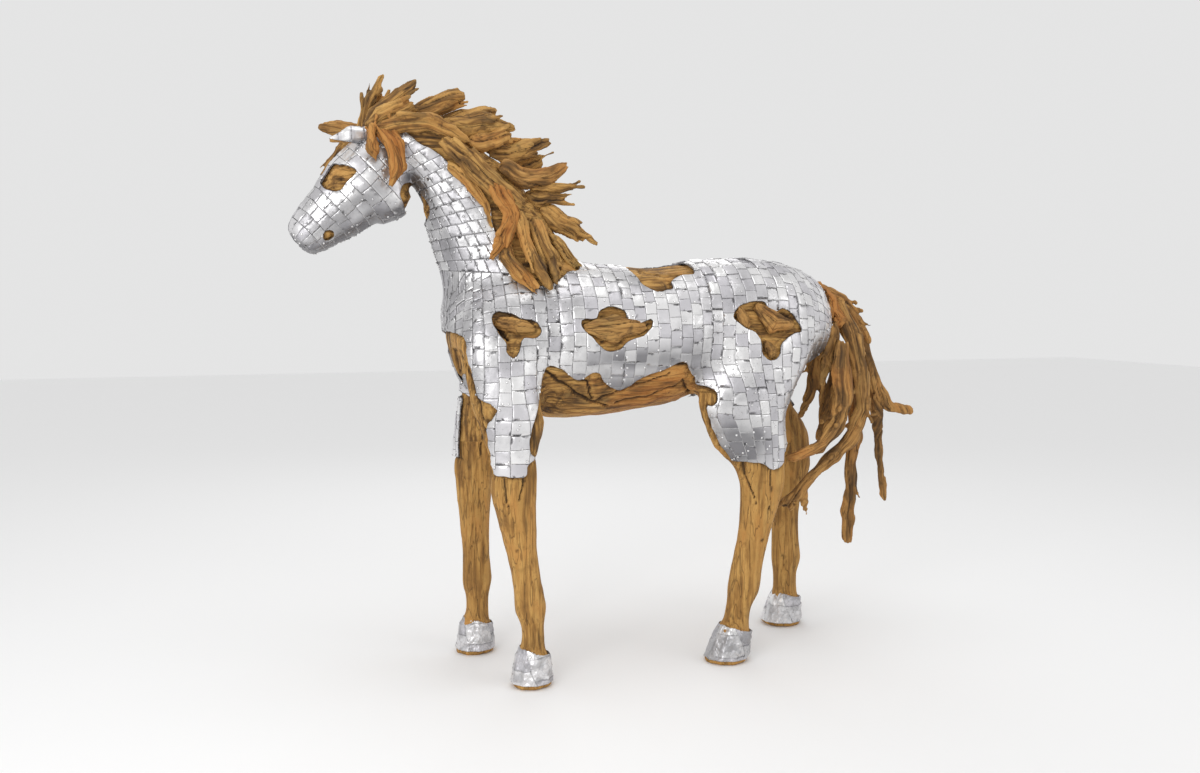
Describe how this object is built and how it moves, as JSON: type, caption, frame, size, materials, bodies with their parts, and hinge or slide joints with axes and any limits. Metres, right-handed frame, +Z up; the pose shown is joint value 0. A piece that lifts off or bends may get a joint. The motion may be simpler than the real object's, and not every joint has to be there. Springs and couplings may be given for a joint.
{
  "type": "driftwood horse sculpture",
  "caption": "Standing horse sculpture of driftwood roots, clad in small hammered steel plates that leave patches of bare wood, with a root mane and a long root tail.",
  "frame": {"origin": "middle of the horse's box, on the floor under its hooves", "axes": "+Z up; the horse faces -X, and its left side is -Y"},
  "size_m": [2.1671, 0.5107, 1.8472],
  "materials": {
    "teak_root": "oiled driftwood with dark grain and checks",
    "dark_teak": "oiled driftwood, darker and weathered",
    "pale_teak": "smoothed honey-coloured wood with dark flecks",
    "hammered_steel": "hand-cut plates, hammered and polished bright"
  },
  "bodies": {
    "root": {"wood_body": "teak_root", "steel_cladding": "hammered_steel", "belly_root_front": "teak_root", "belly_root_middle": "teak_root", "belly_root_rear": "teak_root", "shoulder_root": "dark_teak", "flank_root": "dark_teak", "hip_root_front": "dark_teak", "hip_root_large": "dark_teak", "hip_root_low": "dark_teak", "right_flank_root": "dark_teak", "right_hip_root": "dark_teak", "front_left_leg": "pale_teak", "front_left_hoof": "hammered_steel", "front_right_leg": "pale_teak", "front_right_hoof": "hammered_steel", "hind_left_leg": "pale_teak", "hind_left_hoof": "hammered_steel", "hind_right_leg": "pale_teak", "hind_right_hoof": "hammered_steel", "left_ear": "dark_teak", "right_ear": "dark_teak", "cheek_lock": "teak_root", "cheek_tine": "teak_root", "long_band": "teak_root", "orange_blade": "teak_root", "poll_arch": "teak_root", "poll_blade": "teak_root", "hanging_strip": "teak_root", "hanging_slab": "teak_root", "mane_foot": "teak_root", "steel_edge_strip": "teak_root", "withers_stub": "teak_root", "forked_root": "teak_root", "forked_tine": "teak_root", "upper_wing": "teak_root", "upper_slab": "teak_root", "forelock_knob": "teak_root", "crest_branch": "teak_root", "forelock_spike": "teak_root", "forelock_fork": "teak_root", "crest_finger": "teak_root", "brow_lock": "teak_root", "ragged_wing": "teak_root", "knob_stub": "teak_root", "ridge_spur": "teak_root", "withers_slab": "teak_root", "right_poll_lock": "teak_root", "right_band": "teak_root", "right_blade": "teak_root", "right_slab": "teak_root", "tail_root_cap": "dark_teak", "tail_hooked_branch": "dark_teak", "tail_long_branch": "dark_teak", "tail_outer_branch": "dark_teak", "tail_low_branch": "dark_teak", "tail_near_plate": "dark_teak", "tail_inner_root": "dark_teak", "tail_burl": "dark_teak", "tail_back_spur": "dark_teak"}
  },
  "joints": []
}
